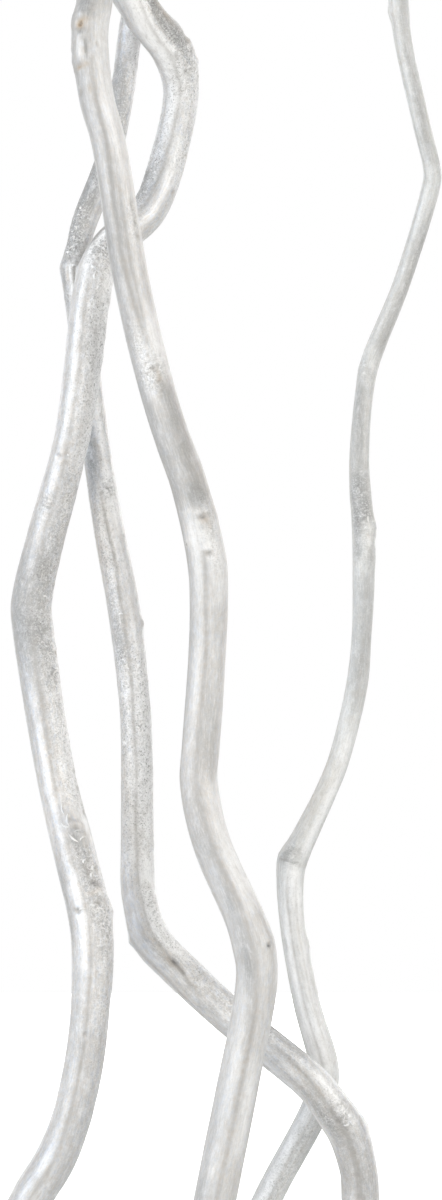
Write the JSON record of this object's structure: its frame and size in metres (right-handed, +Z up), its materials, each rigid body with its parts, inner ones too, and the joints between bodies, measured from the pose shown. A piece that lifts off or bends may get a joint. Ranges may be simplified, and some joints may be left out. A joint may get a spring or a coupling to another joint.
{
  "type": "dried curly stems in vase",
  "caption": "Tall wavy dried stems with a silvery pearl coat, standing loosely in the sand filling of a plain pale vase.",
  "frame": {"origin": "centre of the vase's flat foot, on the surface that it stands on", "axes": "+Z up along the vase's axis, -Y towards the viewer of the main view, +X to the viewer's right"},
  "size_m": [0.1417, 0.1225, 1.1703],
  "materials": {
    "vase_ceramic": "matte off-white ceramic",
    "sand": "fine dry sand",
    "silver_coat": "dried wood with a thin metallic silver coat and fine glitter",
    "pearl_coat": "dried wood with a thin pearl-white coat"
  },
  "bodies": {
    "root": {"vase": "vase_ceramic", "sand_fill": "sand", "stem_left": "silver_coat", "stem_front": "pearl_coat", "stem_back": "silver_coat", "stem_right": "pearl_coat"}
  },
  "joints": []
}
